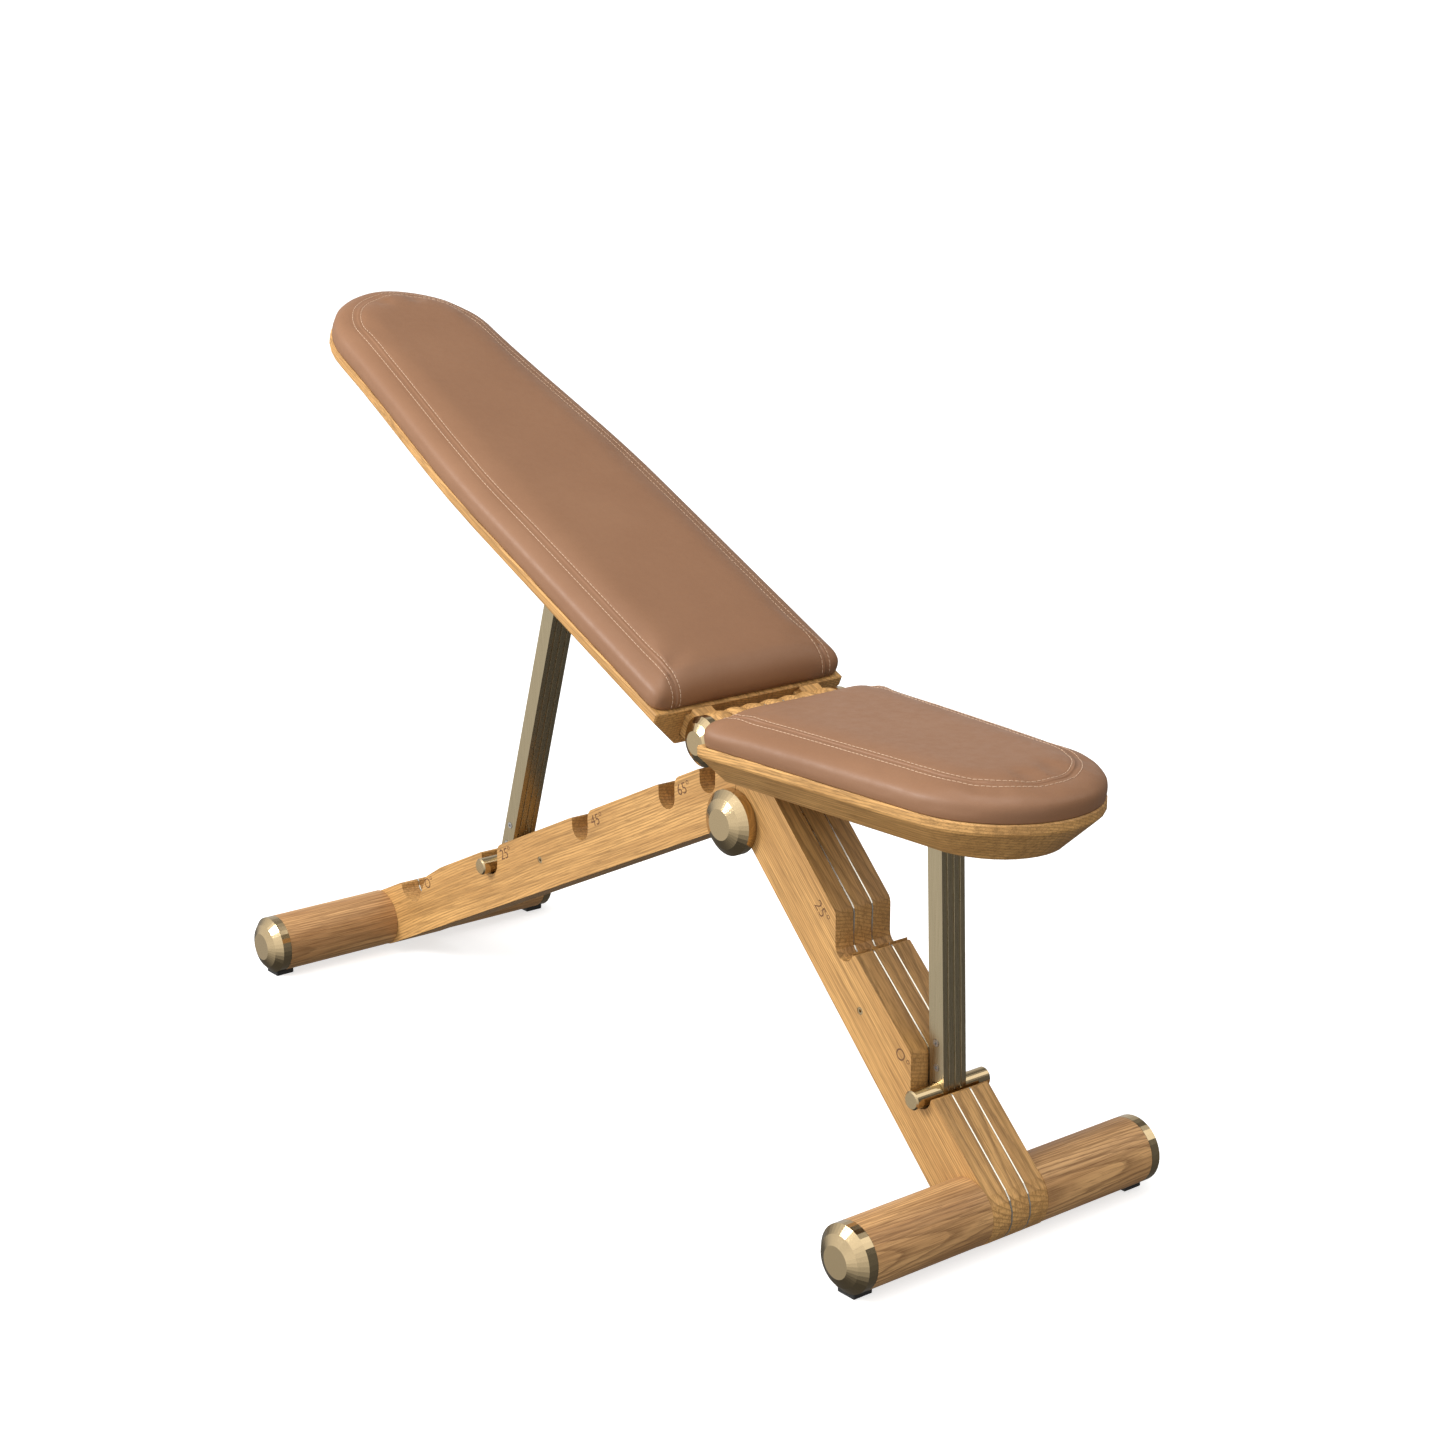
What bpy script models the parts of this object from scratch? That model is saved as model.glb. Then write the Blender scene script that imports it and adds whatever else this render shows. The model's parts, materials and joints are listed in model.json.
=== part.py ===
"""Adjustable weight bench: oak frame, leather pads and champagne metal fittings.

Metres, +Z up. The origin is on the floor under the middle of the bench; +X is the seat end
and the bench is symmetric about the XZ plane. It stands with the seat level and the
backrest at its first incline.
"""

import math

import bmesh
import bpy
from mathutils import Matrix, Vector

# Driving dimensions
GAP = 0.0003
FOOT_PAD = 0.004
FOOT_PAD_HALF = 0.012
BAR_RADIUS = 0.035
FRONT_X = 0.5153
REAR_X = FRONT_X - 1.0846
FRONT_BAR_END = 0.1878
REAR_BAR_END = 0.1916
FOOT_CAP_HEIGHT = 0.0236

LEG_HALF_WIDTH = 0.0375
PLATE_THICKNESS = 0.0016
PLATE_Y = 0.0125
LEG_ROUND = 0.0008
FRONT_SLOPE = math.radians(135)
REAR_SLOPE = math.radians(25.7)
LEG_BELOW = 0.036
FRONT_LEG_ABOVE = 0.0352
REAR_LEG_ABOVE = 0.033

HEAD_RADIUS = 0.026
KNUCKLE_PROFILE = ((0.02, 0.0245), (0.10, 0.0264), (0.25, 0.0278), (0.50, 0.0286))
AXLE_RADIUS = 0.008
ROD_RADIUS = 0.006
BORE_CLEARANCE = 0.0004
LOBE_RADIUS = 0.031
LOBE_POCKET = 0.033
KNOB_RADIUS = 0.0358
KNOB_HEIGHT = 0.022
AXLE_CAP_RADIUS = 0.0268
AXLE_CAP_HEIGHT = 0.018
CAP_BORE_DEPTH = 0.010
CAP_PROFILE = ((0.0, 1.0), (0.47, 1.0), (0.79, 0.765), (1.0, 0.475))

SEAT_ARM = (0.0381, 0.0588)
BACK_ARM = (0.0593, 0.0864)
ARM_TOP = 0.002
ARM_LENGTH = 0.110
ARM_ROUND = 0.0022

BOARD_TOP = 0.0085
BOARD_BAND = 0.0104
BOARD_CHAMFER_DOWN = 0.0361
BOARD_CHAMFER_IN = 0.0387
BOARD_BOTTOM = BOARD_TOP - BOARD_BAND - BOARD_CHAMFER_DOWN
BOARD_ROUND = 0.0014
PAD_TOP = 0.042
BACK_ANGLE = math.radians(25)
BACK_BOARD = {"start": 0.0424, "half_width": 0.127, "straight": 0.405, "join": 0.742,
              "join_half": 0.1065, "nose": 0.107, "straight_slope": 0.0, "join_slope": -0.03}
SEAT_TAPER = (0.1075 - 0.1255) / (0.322 - 0.0291)
SEAT_BOARD = {"start": 0.0291, "half_width": 0.1255, "straight": 0.0291, "join": 0.322,
              "join_half": 0.1075, "nose": 0.116, "straight_slope": SEAT_TAPER, "join_slope": SEAT_TAPER}
PAD_LEVELS = ((BOARD_TOP + GAP, 0.0005), (BOARD_TOP + GAP + 0.014, 0.0), (PAD_TOP - 0.010, 0.0050),
              (PAD_TOP - 0.003, 0.0120), (PAD_TOP, 0.0240))
SEAT_PAD_STARTS = (0.0300, 0.0306, 0.0450, 0.0565, 0.0640)
BACK_PAD_STARTS = (0.0444, 0.0450, 0.0515, 0.0600, 0.0700)

STRUT_HALF = (0.010, 0.0165)
STRUT_PIN_RADIUS = 0.010
STRUT_PIN_HALF = 0.0505
HINGE_PIN_RADIUS = 0.005
SEAT_STRUT_S = 0.262
SEAT_STRUT_N = -0.003
BACK_STRUT_S = 0.3861
BACK_STRUT_N = -0.0031
EAR = (0.0170, 0.0200)
STRUT_CHAMFER = 0.0012
STRUT_GROOVES = (-0.0085, 0.0, 0.0085)
STRUT_GROOVE_SIZE = 0.0011
STRUT_SCREWS = (0.026, 0.052)
GROOVE_SIDE = 0.0018

LEG_SCREW_RADIUS = 0.0040
STRUT_SCREW_RADIUS = 0.0038
THROUGH = 0.3

ARC_STEP = math.radians(22.6)
ROUND_SEGMENTS = 40
LOBE_SEGMENTS = 24
BORE_SEGMENTS = 16


def frame_point(x, z):
    """A point of the XZ plane, from its place behind the front foot bar and above the bars' underside."""
    return (FRONT_X + x, FOOT_PAD + z)


# Places in the XZ plane
FRONT_FOOT = frame_point(0.0, BAR_RADIUS)
REAR_FOOT = frame_point(REAR_X - FRONT_X, BAR_RADIUS)
LOWER_PIVOT = frame_point(-0.3644, 0.3454)
UPPER_AXLE = frame_point(-0.3481, 0.4461)
SEAT_PIN = frame_point(-0.0725, 0.1304)
BACK_PIN = frame_point(-0.8361, 0.1713)
FRONT_SCREW = frame_point(-0.1643, 0.1938)
REAR_SCREW = frame_point(-0.7278, 0.2060)
# The seat's notches: right wall's x and top, left wall's x, and floor, as frame_point takes them
FRONT_NOTCHES = ((-0.0580, 0.1376, -0.0872, 0.1188), (-0.1765, 0.2544, -0.2030, 0.2400))
# The backrest's upper four notches: middle, width and floor; the lowest has a ramp and a shoulder
REAR_NOTCHES = ((-0.4122, 0.0267, 0.3645), (-0.4837, 0.0285, 0.3290), (-0.6465, 0.0305, 0.2515),
                (-0.8343, 0.0335, 0.1606))
LAST_RAMP = frame_point(-0.945, 0.0)
LAST_SHOULDER = frame_point(-0.9788, 0.118)
LAST_FLOOR = frame_point(-0.9992, 0.0772)
LAST_WALL = frame_point(-1.0362, 0.0)

OAK = ("oak", (0.52, 0.30, 0.13), 0.45, 0.0)
OAK_BAR = ("oak_bar", (0.55, 0.30, 0.12), 0.40, 0.0)
BOARD_OAK = ("board_oak", (0.50, 0.29, 0.13), 0.45, 0.0)
LEATHER = ("tan_leather", (0.30, 0.17, 0.10), 0.50, 0.0)
CHAMPAGNE = ("champagne_metal", (0.58, 0.47, 0.30), 0.25, 1.0)
STRUT_METAL = ("strut_metal", (0.55, 0.45, 0.32), 0.30, 1.0)
PLATE_METAL = ("plate_metal", (0.62, 0.58, 0.50), 0.35, 1.0)
STEEL = ("steel", (0.50, 0.50, 0.50), 0.30, 1.0)
RUBBER = ("black_rubber", (0.02, 0.02, 0.02), 0.80, 0.0)


def clear_scene():
    for item in list(bpy.data.objects):
        bpy.data.objects.remove(item, do_unlink=True)


def new_collection(name, hidden=False):
    made = bpy.data.collections.new(name)
    made.hide_render = hidden
    bpy.context.scene.collection.children.link(made)
    return made


def material(look):
    name, color, roughness, metallic = look
    made = bpy.data.materials.get(name)
    if made is None:
        made = bpy.data.materials.new(name)
        made.use_nodes = True
        shader = made.node_tree.nodes["Principled BSDF"]
        shader.inputs["Base Color"].default_value = (*color, 1.0)
        shader.inputs["Roughness"].default_value = roughness
        shader.inputs["Metallic"].default_value = metallic
        made.diffuse_color = (*color, 1.0)
    return made


def new_object(name, data, look=None, group=None):
    made = bpy.data.objects.new(name, data)
    (group or parts).objects.link(made)
    if look is not None:
        data.materials.clear()
        data.materials.append(material(look))
    return made


def from_bmesh(name, shape, look=None, group=None):
    bmesh.ops.recalc_face_normals(shape, faces=shape.faces)
    data = bpy.data.meshes.new(name)
    shape.to_mesh(data)
    shape.free()
    return new_object(name, data, look, group)


def smooth(item, angle=30):
    item.data.shade_smooth()
    item.data.set_sharp_from_angle(angle=math.radians(angle))
    return item


# Outlines


def rounded(corners):
    """The points of a closed outline, from (x, z, radius) corners, with an arc at each corner."""
    points = []
    count = len(corners)
    for index, (x, z, radius) in enumerate(corners):
        here = Vector((x, z))
        before = Vector(corners[index - 1][:2]) - here
        after = Vector(corners[(index + 1) % count][:2]) - here
        before.normalize()
        after.normalize()
        turn = math.pi - before.angle(after)
        if radius <= 0 or turn < 0.02:
            points.append((x, z))
            continue
        setback = radius * math.tan(turn / 2)
        centre = here + (before + after).normalized() * radius / math.cos(turn / 2)
        start = here + before * setback - centre
        side = 1 if before.x * after.y - before.y * after.x < 0 else -1
        steps = max(1, math.ceil(turn / ARC_STEP))
        for step in range(steps + 1):
            bend = side * turn * step / steps
            spun = Vector((start.x * math.cos(bend) - start.y * math.sin(bend),
                           start.x * math.sin(bend) + start.y * math.cos(bend)))
            points.append(tuple(centre + spun))
    return [spot for index, spot in enumerate(points) if math.dist(spot, points[index - 1]) > 0.00005]


def slab(name, outline, y_middle, thickness, look=None, group=None):
    """An outline of the XZ plane made a flat piece, from a filled and extruded 2D curve."""
    curve = bpy.data.curves.new(name + "_outline", "CURVE")
    curve.dimensions = "2D"
    curve.fill_mode = "BOTH"
    curve.extrude = thickness / 2
    spline = curve.splines.new("POLY")
    spline.points.add(len(outline) - 1)
    for point, (x, z) in zip(spline.points, outline):
        point.co = (x, z, 0.0, 1.0)
    spline.use_cyclic_u = True
    guide = new_object(name + "_outline", curve, None, cutters)
    guide.matrix_world = Matrix.Translation((0, y_middle, 0)) @ Matrix.Rotation(math.pi / 2, 4, "X")
    bpy.context.view_layer.update()
    evaluated = guide.evaluated_get(bpy.context.evaluated_depsgraph_get())
    data = bpy.data.meshes.new_from_object(evaluated)
    data.name = name
    shape = bmesh.new()
    shape.from_mesh(data)
    bmesh.ops.remove_doubles(shape, verts=shape.verts, dist=0.00001)
    bmesh.ops.dissolve_limit(shape, angle_limit=0.01, verts=shape.verts, edges=shape.edges)
    bmesh.ops.recalc_face_normals(shape, faces=shape.faces)
    shape.to_mesh(data)
    shape.free()
    made = new_object(name, data, look, group)
    made.matrix_world = guide.matrix_world
    bpy.data.objects.remove(guide, do_unlink=True)
    return made


def cylinder(name, radius, centre, y_from, y_to, look=None, group=None, segments=ROUND_SEGMENTS):
    """A round bar along Y about a point of the XZ plane."""
    shape = bmesh.new()
    bmesh.ops.create_cone(
        shape, cap_ends=True, segments=segments, radius1=radius, radius2=radius,
        depth=y_to - y_from,
        matrix=Matrix.Translation((centre[0], (y_from + y_to) / 2, centre[1]))
        @ Matrix.Rotation(math.pi / 2, 4, "X"))
    return from_bmesh(name, shape, look, group)


def bore(name, radius, centre, y_from=-THROUGH, y_to=THROUGH, segments=BORE_SEGMENTS):
    """A round cutter along Y."""
    return cylinder(name, radius, centre, y_from, y_to, None, cutters, segments)


def box(name, low, high, look=None, group=None):
    shape = bmesh.new()
    size = [b - a for a, b in zip(low, high)]
    middle = [(a + b) / 2 for a, b in zip(low, high)]
    bmesh.ops.create_cube(shape, size=1.0, matrix=Matrix.Translation(middle) @ Matrix.Diagonal((*size, 1)))
    return from_bmesh(name, shape, look, group)


def boolean(item, other, operation="DIFFERENCE"):
    step = item.modifiers.new(other.name, "BOOLEAN")
    step.operation = operation
    step.solver = "EXACT"
    step.object = other
    other.display_type = "WIRE"
    other.hide_render = True
    return item


def round_edges(item, width, segments=1, angle=50):
    step = item.modifiers.new("round_edges", "BEVEL")
    step.width = width
    step.segments = segments
    step.limit_method = "ANGLE"
    step.angle_limit = math.radians(angle)
    return item


# Frame


def leg_corner(foot, slope, along, across, radius):
    """A corner given along a leg from its foot bar, and across it to its upper side."""
    run = Vector((math.cos(slope), math.sin(slope)))
    up = Vector((-run.y, run.x)) * (1 if run.x > 0 else -1)
    spot = Vector(foot) + run * along + up * across
    return (spot.x, spot.y, radius)


def on_edge(foot, slope, above, x):
    """The height at x of the line that runs along a leg at a distance above its foot bar's axis."""
    return foot[1] + (x - foot[0]) * math.tan(slope) + above / abs(math.cos(slope))


def notch(x_right, z_right, round_right, x_left, z_left, round_left, bottom):
    """The corners of a U-shaped notch, met from its right wall to its left wall."""
    bend = (x_right - x_left) / 2 - 0.0006
    return [(x_right, z_right, round_right), (x_right, bottom, bend),
            (x_left, bottom, bend), (x_left, z_left, round_left)]


def front_leg_outline():
    """Foot, upper edge with its two seat notches, head round the upper axle, and lower edge."""
    foot, slope = FRONT_FOOT, FRONT_SLOPE
    corners = [leg_corner(foot, slope, -LEG_BELOW, -LEG_BELOW, LEG_BELOW),
               leg_corner(foot, slope, -LEG_BELOW, FRONT_LEG_ABOVE, FRONT_LEG_ABOVE)]
    for x_right, z_right, x_left, bottom in FRONT_NOTCHES:
        left = frame_point(x_left, bottom)
        right = frame_point(x_right, z_right)
        z_left = on_edge(foot, slope, FRONT_LEG_ABOVE, left[0])
        corners += notch(*right, 0.003, left[0], z_left, 0.011, left[1])
    head_x, head_z = UPPER_AXLE
    side = head_x + HEAD_RADIUS
    corners.append((side, on_edge(foot, slope, FRONT_LEG_ABOVE, side), 0))
    corners.append((side, head_z + HEAD_RADIUS, HEAD_RADIUS * 0.999))
    corners.append((head_x - HEAD_RADIUS, head_z + HEAD_RADIUS, HEAD_RADIUS * 0.999))
    butt = LOWER_PIVOT[0] + GAP
    corners.append((head_x - HEAD_RADIUS, head_z - 0.0150, 0.004))
    corners.append((butt, head_z - 0.0210, 0.002))
    corners.append((butt, on_edge(foot, slope, -LEG_BELOW, butt), 0))
    return rounded(corners)


def rear_leg_outline():
    """Foot, lower edge, butt against the front leg, and upper edge with its five backrest notches."""
    foot, slope = REAR_FOOT, REAR_SLOPE
    butt = LOWER_PIVOT[0] - GAP
    corners = [leg_corner(foot, slope, -LEG_BELOW, -LEG_BELOW, LEG_BELOW),
               (butt, on_edge(foot, slope, -LEG_BELOW, butt), 0),
               (butt, on_edge(foot, slope, REAR_LEG_ABOVE, butt), 0.004)]
    for middle, width, bottom in REAR_NOTCHES:
        x_middle, z_bottom = frame_point(middle, bottom)
        x_right = x_middle + width / 2
        x_left = x_middle - width / 2
        z_right = on_edge(foot, slope, REAR_LEG_ABOVE, x_right)
        z_left = on_edge(foot, slope, REAR_LEG_ABOVE, x_left)
        corners += notch(x_right, z_right, 0.012, x_left, z_left, 0.002, z_bottom)
    ramp, left = LAST_RAMP[0], LAST_WALL[0]
    right, low = LAST_FLOOR
    corners += [(ramp, on_edge(foot, slope, REAR_LEG_ABOVE, ramp), 0.030), (*LAST_SHOULDER, 0.010),
                (right, low, 0.014), (left, low, 0.014),
                (left, on_edge(foot, slope, REAR_LEG_ABOVE, left), 0.003),
                leg_corner(foot, slope, -LEG_BELOW, REAR_LEG_ABOVE, REAR_LEG_ABOVE)]
    return rounded(corners)


def knuckle(piece, low, high):
    """Swells a piece's round head into a crowned ring about the upper axle, between two heights in Y."""
    profile = list(KNUCKLE_PROFILE) + [(1 - share, radius) for share, radius in reversed(KNUCKLE_PROFILE[:-1])]
    shape = bmesh.new()
    rings = []
    for share, radius in profile:
        y = low + (high - low) * share
        turns = [math.tau * step / ROUND_SEGMENTS for step in range(ROUND_SEGMENTS)]
        rings.append([shape.verts.new((UPPER_AXLE[0] + radius * math.cos(turn), y,
                                       UPPER_AXLE[1] + radius * math.sin(turn))) for turn in turns])
    for lower, upper in zip(rings, rings[1:]):
        for index, first in enumerate(lower):
            follow = (index + 1) % len(lower)
            shape.faces.new((first, lower[follow], upper[follow], upper[index]))
    shape.faces.new(rings[0])
    shape.faces.new(rings[-1])
    ring = from_bmesh(piece.name + "_knuckle", shape, None, cutters)
    return boolean(piece, ring, "UNION")


def leg_layers(prefix, outline, lobed, knuckled, bores, screw_hole):
    """Three oak layers with a metal plate at each joint between them.

    The layers named in lobed reach round the lower pivot, and the others make room for
    the other leg's lobes. Those named in knuckled have a crowned head round the upper axle.
    """
    plate_inside = PLATE_Y - PLATE_THICKNESS / 2
    plate_outside = PLATE_Y + PLATE_THICKNESS / 2
    outer = (plate_outside + GAP, LEG_HALF_WIDTH)
    mid = plate_inside - GAP
    spans = {"near": (-outer[1], -outer[0]), "mid": (-mid, mid), "far": outer,
             "plate_near": (-plate_outside, -plate_inside), "plate_far": (plate_inside, plate_outside)}
    made = []
    for layer, (low, high) in spans.items():
        metal = layer.startswith("plate")
        name = f"{prefix}_{layer}"
        piece = slab(name, outline, (low + high) / 2, high - low, PLATE_METAL if metal else OAK)
        if layer in ("near", "far"):
            round_edges(piece, LEG_ROUND)
        if layer in lobed:
            lobe = cylinder(name + "_lobe", LOBE_RADIUS, LOWER_PIVOT, low + GAP, high - GAP, None,
                            cutters, LOBE_SEGMENTS)
            boolean(piece, lobe, "UNION")
            boolean(piece, lower_bore)
        else:
            boolean(piece, lobe_pocket)
        if layer in knuckled:
            knuckle(piece, low, high)
        for cutter in bores:
            boolean(piece, cutter)
        boolean(piece, screw_hole)
        made.append(smooth(piece))
    return made


def cap(name, radius, height, centre, y_base, side, bore_radius):
    """A turned cap: a straight rim, two cones and a flat face."""
    profile = bmesh.new()
    outline = [(0.0, height)]
    outline += [(radius * across, height * level) for level, across in reversed(CAP_PROFILE)]
    outline += [(0.0, 0.0)]
    spots = [profile.verts.new((x, 0, z)) for x, z in outline]
    for first, second in zip(spots, spots[1:]):
        profile.edges.new((first, second))
    data = bpy.data.meshes.new(name)
    profile.to_mesh(data)
    profile.free()
    piece = new_object(name, data, CHAMPAGNE)
    turn = Matrix.Rotation(-side * math.pi / 2, 4, "X")
    piece.matrix_world = Matrix.Translation((centre[0], y_base, centre[1])) @ turn
    turned = piece.modifiers.new("turn", "SCREW")
    turned.steps = ROUND_SEGMENTS
    turned.render_steps = ROUND_SEGMENTS
    turned.use_merge_vertices = True
    turned.merge_threshold = 0.00001
    low, high = sorted((y_base - side * 0.005, y_base + side * CAP_BORE_DEPTH))
    boolean(piece, bore(name + "_bore", bore_radius, centre, low, high))
    return piece


def foot(prefix, centre, bar_end):
    """Two oak bars, one each side of a leg, drawn together by a rod with a cap on each end."""
    made = []
    rod_end = bar_end + CAP_BORE_DEPTH - 0.001
    made.append(smooth(cylinder(prefix + "_foot_rod", ROD_RADIUS, centre, -rod_end, rod_end, STEEL,
                                segments=BORE_SEGMENTS)))
    rod_bore = bore(prefix + "_rod_bore", ROD_RADIUS + BORE_CLEARANCE, centre)
    for place, side in (("near", -1), ("far", 1)):
        low, high = sorted((side * (LEG_HALF_WIDTH + GAP), side * (bar_end - GAP)))
        bar = cylinder(f"{prefix}_foot_bar_{place}", BAR_RADIUS, centre, low, high, OAK_BAR)
        made.append(smooth(boolean(bar, rod_bore)))
        made.append(cap(f"{prefix}_foot_cap_{place}", BAR_RADIUS, FOOT_CAP_HEIGHT, centre,
                        side * bar_end, side, ROD_RADIUS + BORE_CLEARANCE))
        low, high = sorted((side * (bar_end - 0.014), side * (bar_end + 0.010)))
        sole = box(f"{prefix}_foot_pad_{place}", (centre[0] - FOOT_PAD_HALF, low, 0.0),
                   (centre[0] + FOOT_PAD_HALF, high, FOOT_PAD + 0.0030), RUBBER)
        round_edges(sole, 0.0010)
        room = bore(f"{prefix}_pad_room_{place}", BAR_RADIUS + GAP, centre, low - 0.01, high + 0.01,
                    ROUND_SEGMENTS)
        made.append(boolean(sole, room))
    return made, rod_bore


# Pads and boards


def half_width(board, s):
    """Half the board's width at a distance s from the axle, up to where its nose begins."""
    start, end = board["straight"], board["join"]
    if s <= start:
        return board["half_width"]
    t = (s - start) / (end - start)
    return (board["half_width"] * (2 * t**3 - 3 * t**2 + 1)
            + board["straight_slope"] * (end - start) * (t**3 - 2 * t**2 + t)
            + board["join_half"] * (3 * t**2 - 2 * t**3)
            + board["join_slope"] * (end - start) * (t**3 - t**2))


def board_outline(board, steps=6, nose_steps=10):
    """Points (s, y) round a board from its axle end: one side, the nose and the other side."""
    side = [(board["start"], half_width(board, board["start"]))]
    if board["straight"] > board["start"]:
        side.append((board["straight"], half_width(board, board["straight"])))
    for step in range(1, steps):
        s = board["straight"] + (board["join"] - board["straight"]) * step / steps
        side.append((s, half_width(board, s)))
    nose = []
    for step in range(nose_steps + 1):
        turn = math.pi / 2 * (1 - step / nose_steps)
        nose.append((board["join"] + board["nose"] * math.cos(turn), board["join_half"] * math.sin(turn)))
    one_side = side + nose
    return one_side + [(s, -y) for s, y in reversed(one_side[:-1])]


def inset(outline, distance, start=None):
    """The outline moved inwards. Its two ends at the axle only move sideways, to s = start."""
    last = len(outline) - 1
    moved = []
    for index, (s, y) in enumerate(outline):
        if index in (0, last):
            moved.append((s if start is None else start, y - math.copysign(distance, y)))
            continue
        run = Vector(outline[index + 1]) - Vector(outline[index - 1])
        inward = Vector((run.y, -run.x)).normalized()
        moved.append((s + inward.x * distance, y + inward.y * distance))
    return moved


def tilt(angle, mirrored):
    """The place of a pad's own axes: X along the pad from the axle, Z up from it."""
    along = Matrix.Rotation(angle, 4, "Y")
    flip = Matrix.Rotation(math.pi, 4, "Z") if mirrored else Matrix.Identity(4)
    return Matrix.Translation((UPPER_AXLE[0], 0, UPPER_AXLE[1])) @ along @ flip


SEAT_PLACE = tilt(0.0, False)
BACK_PLACE = tilt(BACK_ANGLE, True)


def loft(name, rings, place, look):
    """A solid whose side walls join rings of equal count, each ring a list of (s, y) and its height."""
    shape = bmesh.new()
    loops = []
    for height, ring in rings:
        loops.append([shape.verts.new((s, y, height)) for s, y in ring])
    for lower, upper in zip(loops, loops[1:]):
        for index, first in enumerate(lower):
            follow = (index + 1) % len(lower)
            shape.faces.new((first, lower[follow], upper[follow], upper[index]))
    shape.faces.new(loops[0])
    shape.faces.new(loops[-1])
    piece = from_bmesh(name, shape, look)
    piece.matrix_world = place
    return piece


def board(name, shape, place):
    """An oak board with a band round its edge and a deep chamfer under it."""
    outline = board_outline(shape)
    rings = [(BOARD_BOTTOM, inset(outline, BOARD_CHAMFER_IN)),
             (BOARD_TOP - BOARD_BAND, outline), (BOARD_TOP, outline)]
    piece = loft(name, rings, place, BOARD_OAK)
    return smooth(round_edges(piece, BOARD_ROUND, 1, 30))


def pad(name, shape, place, starts):
    """A leather pad that follows its board, with a rounded top edge. starts gives the end at the axle."""
    outline = board_outline(shape)
    rings = [(height, inset(outline, distance, start))
             for (height, distance), start in zip(PAD_LEVELS, starts)]
    return smooth(loft(name, rings, place, LEATHER), 60)


def local_box(name, place, low, high, look=None, group=None):
    piece = box(name, low, high, look, group)
    piece.matrix_world = place
    return piece


def wedge(name, place, outline, half):
    """A cutter whose outline is in a pad's own XZ plane."""
    piece = slab(name, outline, 0.0, 2 * half, None, cutters)
    piece.matrix_world = place @ piece.matrix_world
    return piece


def arm(name, place, span, neck):
    """A crowned hub round the upper axle with a tongue that is glued into the board."""
    low, high = span
    hub = [(HEAD_RADIUS * math.cos(math.radians(turn)), HEAD_RADIUS * math.sin(math.radians(turn)))
           for turn in range(30, 271, 20)]
    outline = hub + [(ARM_LENGTH, -HEAD_RADIUS), (ARM_LENGTH, ARM_TOP)] + neck
    piece = slab(name, outline, (low + high) / 2, high - low, OAK)
    piece.matrix_world = place @ piece.matrix_world
    round_edges(piece, ARM_ROUND)
    side = -1 if place is BACK_PLACE else 1
    knuckle(piece, *sorted((side * low, side * high)))
    boolean(piece, upper_bore)
    return smooth(piece, 40)


def mortise(name, place, span):
    low, high = span
    return local_box(name, place, (0.010, low - GAP, -HEAD_RADIUS - GAP),
                     (ARM_LENGTH + GAP, high + GAP, ARM_TOP + GAP), None, cutters)


def bracket(name, place, s, n):
    """A U-shaped bracket let into the board, which holds a strut's hinge pin."""
    piece = local_box(name, place, (s - 0.009, -EAR[1], n - 0.011), (s + 0.024, EAR[1], n + 0.010),
                      CHAMPAGNE)
    inside = local_box(name + "_inside", place, (s - 0.020, -EAR[0], n - 0.030),
                       (s + 0.016, EAR[0], n + 0.030), None, cutters)
    return boolean(piece, inside)


def strut_section():
    """The struts' section, (x, y): chamfered corners and three grooves down each wide face."""
    half_x, half_y = STRUT_HALF
    size = STRUT_GROOVE_SIZE
    points = [(half_x, STRUT_CHAMFER - half_y)]
    for middle in STRUT_GROOVES:
        points += [(half_x, middle - size), (half_x - size, middle - size / 2),
                   (half_x - size, middle + size / 2), (half_x, middle + size)]
    points += [(half_x, half_y - STRUT_CHAMFER), (half_x - STRUT_CHAMFER, half_y)]
    return points + [(-x, -y) for x, y in points]


def strut_bar(name, top, run):
    """The strut's grooved bar, hung from the hinge pin along run."""
    shape = bmesh.new()
    section = strut_section()
    upper = [shape.verts.new((x, y, 0.0)) for x, y in section]
    lower = [shape.verts.new((x, y, -run.length)) for x, y in section]
    shape.faces.new(upper)
    shape.faces.new(lower)
    for index, first in enumerate(upper):
        follow = (index + 1) % len(upper)
        shape.faces.new((first, upper[follow], lower[follow], lower[index]))
    piece = from_bmesh(name, shape, STRUT_METAL)
    lean = Matrix.Rotation(math.atan2(-run.x, -run.z), 4, "Y")
    piece.matrix_world = Matrix.Translation((top[0], 0, top[1])) @ lean
    return piece


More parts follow.
